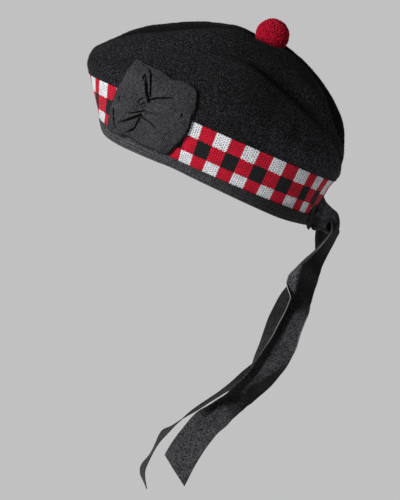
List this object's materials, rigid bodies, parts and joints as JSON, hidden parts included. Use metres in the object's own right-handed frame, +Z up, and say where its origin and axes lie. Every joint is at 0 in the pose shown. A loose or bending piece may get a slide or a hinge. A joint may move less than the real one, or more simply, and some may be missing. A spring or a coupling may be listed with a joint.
{
  "type": "glengarry",
  "caption": "Creased wool cap with a diced band, a bound edge, a ribbon cockade at one side, a wool ball on top and ribbon tails at the back, worn on the head.",
  "frame": {"origin": "middle of the head opening, in the plane of the rim, where the cap sits on a head", "axes": "+Z up as worn, +Y towards the back, +X towards the wearer's left; the cap is tipped front up as worn"},
  "size_m": [0.1795, 0.2303, 0.4149],
  "materials": {
    "wool": "black milled wool",
    "dice": "knitted wool band diced in red, white and black",
    "tape": "black woven tape",
    "ribbon": "black ribbed ribbon",
    "ball": "red curled wool"
  },
  "bodies": {
    "root": {"crown": "wool", "diced_band": "dice", "edge_binding": "tape", "cockade": "ribbon", "toorie": "ball", "tail_knot": "ribbon", "tail_near": "ribbon", "tail_far": "ribbon"}
  },
  "joints": []
}
